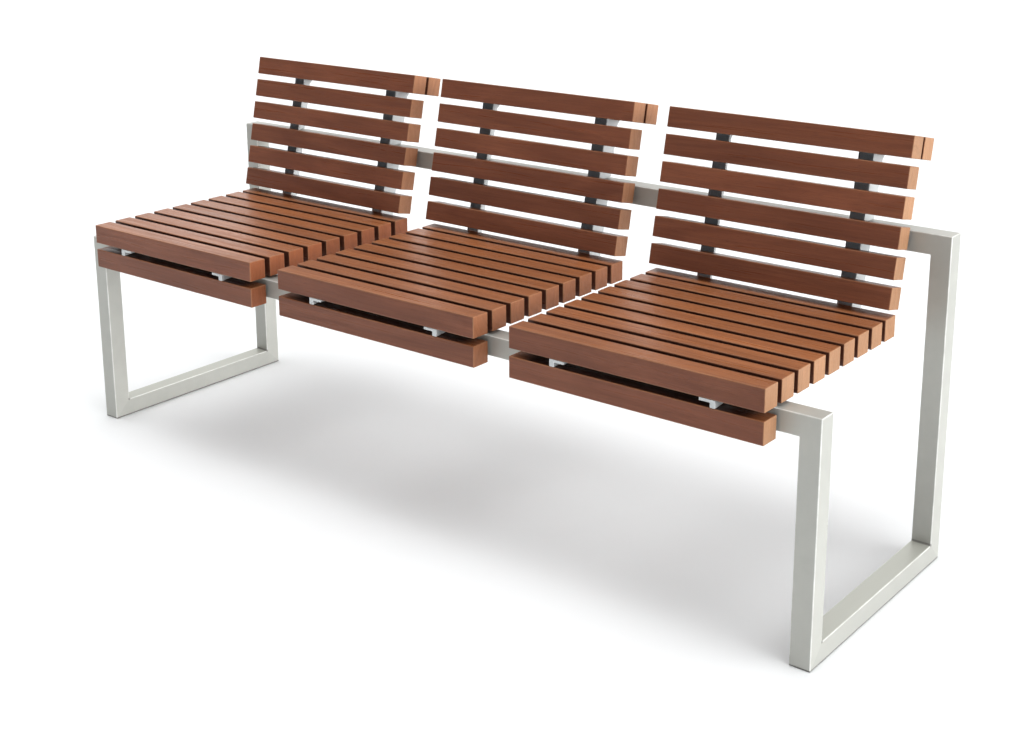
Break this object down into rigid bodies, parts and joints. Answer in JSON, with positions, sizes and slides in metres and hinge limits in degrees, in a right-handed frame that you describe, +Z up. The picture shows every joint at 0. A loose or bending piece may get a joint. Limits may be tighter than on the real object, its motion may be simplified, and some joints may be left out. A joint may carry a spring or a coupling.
{
  "type": "park bench",
  "caption": "Three-section slatted park bench: square hardwood slats on welded L brackets, carried by one loop of mitred square steel tube that stands on two floor runners.",
  "frame": {"origin": "on the floor, in the middle of the bench's outline", "axes": "+X along the bench to the sitter's left, which is the right of someone facing it; +Y from the seat's front to its back; +Z up"},
  "size_m": [1.8, 0.5839, 0.7891],
  "materials": {
    "frame_painted_steel": "satin light grey powder coat",
    "bracket_painted_steel": "satin light grey powder coat",
    "seat_hardwood": "oiled red-brown hardwood, satin",
    "apron_hardwood": "oiled red-brown hardwood, satin",
    "back_hardwood": "oiled red-brown hardwood, satin"
  },
  "bodies": {
    "root": {"welded_frame": "frame_painted_steel", "bracket_left_section_left": "bracket_painted_steel", "bracket_left_section_right": "bracket_painted_steel", "seat_slat_left_1": "seat_hardwood", "seat_slat_left_2": "seat_hardwood", "seat_slat_left_3": "seat_hardwood", "seat_slat_left_4": "seat_hardwood", "seat_slat_left_5": "seat_hardwood", "seat_slat_left_6": "seat_hardwood", "seat_slat_left_7": "seat_hardwood", "seat_slat_left_8": "seat_hardwood", "seat_slat_left_9": "seat_hardwood", "apron_slat_left": "apron_hardwood", "back_slat_left_1": "back_hardwood", "back_slat_left_2": "back_hardwood", "back_slat_left_3": "back_hardwood", "back_slat_left_4": "back_hardwood", "back_slat_left_5": "back_hardwood", "back_slat_left_6": "back_hardwood", "rear_top_slat_left": "back_hardwood", "bracket_middle_section_left": "bracket_painted_steel", "bracket_middle_section_right": "bracket_painted_steel", "seat_slat_middle_1": "seat_hardwood", "seat_slat_middle_2": "seat_hardwood", "seat_slat_middle_3": "seat_hardwood", "seat_slat_middle_4": "seat_hardwood", "seat_slat_middle_5": "seat_hardwood", "seat_slat_middle_6": "seat_hardwood", "seat_slat_middle_7": "seat_hardwood", "seat_slat_middle_8": "seat_hardwood", "seat_slat_middle_9": "seat_hardwood", "apron_slat_middle": "apron_hardwood", "back_slat_middle_1": "back_hardwood", "back_slat_middle_2": "back_hardwood", "back_slat_middle_3": "back_hardwood", "back_slat_middle_4": "back_hardwood", "back_slat_middle_5": "back_hardwood", "back_slat_middle_6": "back_hardwood", "rear_top_slat_middle": "back_hardwood", "bracket_right_section_left": "bracket_painted_steel", "bracket_right_section_right": "bracket_painted_steel", "seat_slat_right_1": "seat_hardwood", "seat_slat_right_2": "seat_hardwood", "seat_slat_right_3": "seat_hardwood", "seat_slat_right_4": "seat_hardwood", "seat_slat_right_5": "seat_hardwood", "seat_slat_right_6": "seat_hardwood", "seat_slat_right_7": "seat_hardwood", "seat_slat_right_8": "seat_hardwood", "seat_slat_right_9": "seat_hardwood", "apron_slat_right": "apron_hardwood", "back_slat_right_1": "back_hardwood", "back_slat_right_2": "back_hardwood", "back_slat_right_3": "back_hardwood", "back_slat_right_4": "back_hardwood", "back_slat_right_5": "back_hardwood", "back_slat_right_6": "back_hardwood", "rear_top_slat_right": "back_hardwood"}
  },
  "joints": []
}
